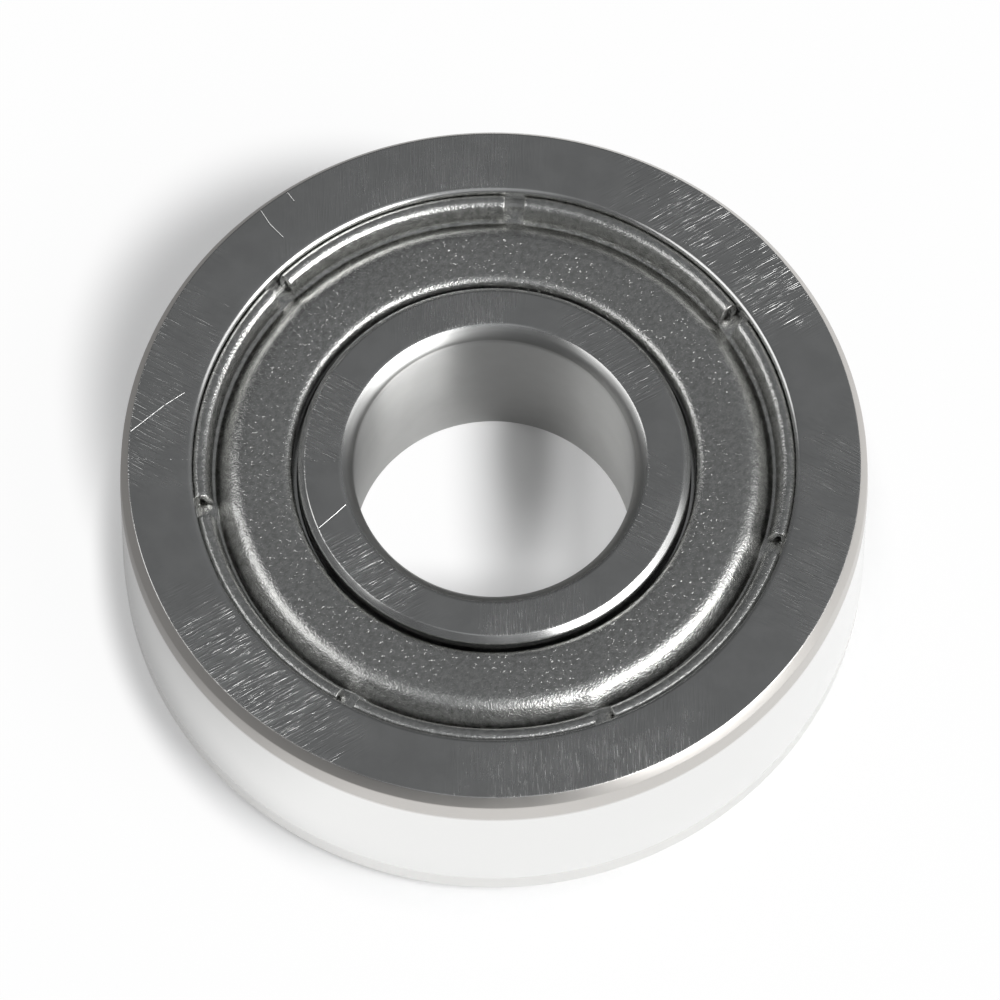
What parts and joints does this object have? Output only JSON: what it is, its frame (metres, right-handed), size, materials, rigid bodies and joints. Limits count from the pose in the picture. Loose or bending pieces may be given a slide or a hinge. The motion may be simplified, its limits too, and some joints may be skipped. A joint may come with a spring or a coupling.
{
  "type": "ball bearing",
  "caption": "Shielded deep-groove ball bearing: an inner ring turns in an outer ring on caged balls, with a pressed sheet shield closing each side.",
  "frame": {"origin": "centre of the bearing, on the spin axis at mid-width", "axes": "+Z along the spin axis towards the shield shown in the picture, +X and +Y across it"},
  "size_m": [0.024, 0.024, 0.007],
  "materials": {
    "ring_steel": "ground end faces with fine scratches, polished outside wall",
    "shield_steel": "satin pressed sheet",
    "cage_steel": "satin pressed sheet",
    "ball_steel": "polished",
    "rivet_steel": "satin"
  },
  "bodies": {
    "outer_race": {"outer_ring": "ring_steel", "upper_shield": "shield_steel", "lower_shield": "shield_steel"},
    "inner_race": {"inner_ring": "ring_steel"},
    "cage": {"cage_upper_half": "cage_steel", "cage_lower_half": "cage_steel", "cage_rivet_1": "rivet_steel", "cage_rivet_2": "rivet_steel", "cage_rivet_3": "rivet_steel", "cage_rivet_4": "rivet_steel", "cage_rivet_5": "rivet_steel", "cage_rivet_6": "rivet_steel", "cage_rivet_7": "rivet_steel"},
    "ball_1": {"ball_1": "ball_steel"},
    "ball_2": {"ball_2": "ball_steel"},
    "ball_3": {"ball_3": "ball_steel"},
    "ball_4": {"ball_4": "ball_steel"},
    "ball_5": {"ball_5": "ball_steel"},
    "ball_6": {"ball_6": "ball_steel"},
    "ball_7": {"ball_7": "ball_steel"}
  },
  "joints": [
    {"name": "inner_spin", "type": "hinge", "parent": "outer_race", "child": "inner_race", "pos_m": [0, 0, 0], "axis": [0, 0, 1], "continuous": true},
    {"name": "cage_spin", "type": "hinge", "parent": "outer_race", "child": "cage", "pos_m": [0, 0, 0], "axis": [0, 0, 1], "continuous": true},
    {"name": "ball_1_spin", "type": "hinge", "parent": "cage", "child": "ball_1", "pos_m": [0.00825, 0, 0], "axis": [0, 0, 1], "continuous": true},
    {"name": "ball_2_spin", "type": "hinge", "parent": "cage", "child": "ball_2", "pos_m": [0.00514, 0.00645, 0], "axis": [0, 0, 1], "continuous": true},
    {"name": "ball_3_spin", "type": "hinge", "parent": "cage", "child": "ball_3", "pos_m": [-0.00184, 0.00804, 0], "axis": [0, 0, 1], "continuous": true},
    {"name": "ball_4_spin", "type": "hinge", "parent": "cage", "child": "ball_4", "pos_m": [-0.00743, 0.00358, 0], "axis": [0, 0, 1], "continuous": true},
    {"name": "ball_5_spin", "type": "hinge", "parent": "cage", "child": "ball_5", "pos_m": [-0.00743, -0.00358, 0], "axis": [0, 0, 1], "continuous": true},
    {"name": "ball_6_spin", "type": "hinge", "parent": "cage", "child": "ball_6", "pos_m": [-0.00184, -0.00804, 0], "axis": [0, 0, 1], "continuous": true},
    {"name": "ball_7_spin", "type": "hinge", "parent": "cage", "child": "ball_7", "pos_m": [0.00514, -0.00645, 0], "axis": [0, 0, 1], "continuous": true}
  ],
  "couplings": [
    {"joint": "cage_spin", "follows": "inner_spin", "ratio": 0.37973},
    {"joint": "ball_1_spin", "follows": "inner_spin", "ratio": -1.9583},
    {"joint": "ball_2_spin", "follows": "inner_spin", "ratio": -1.9583},
    {"joint": "ball_3_spin", "follows": "inner_spin", "ratio": -1.9583},
    {"joint": "ball_4_spin", "follows": "inner_spin", "ratio": -1.9583},
    {"joint": "ball_5_spin", "follows": "inner_spin", "ratio": -1.9583},
    {"joint": "ball_6_spin", "follows": "inner_spin", "ratio": -1.9583},
    {"joint": "ball_7_spin", "follows": "inner_spin", "ratio": -1.9583}
  ]
}
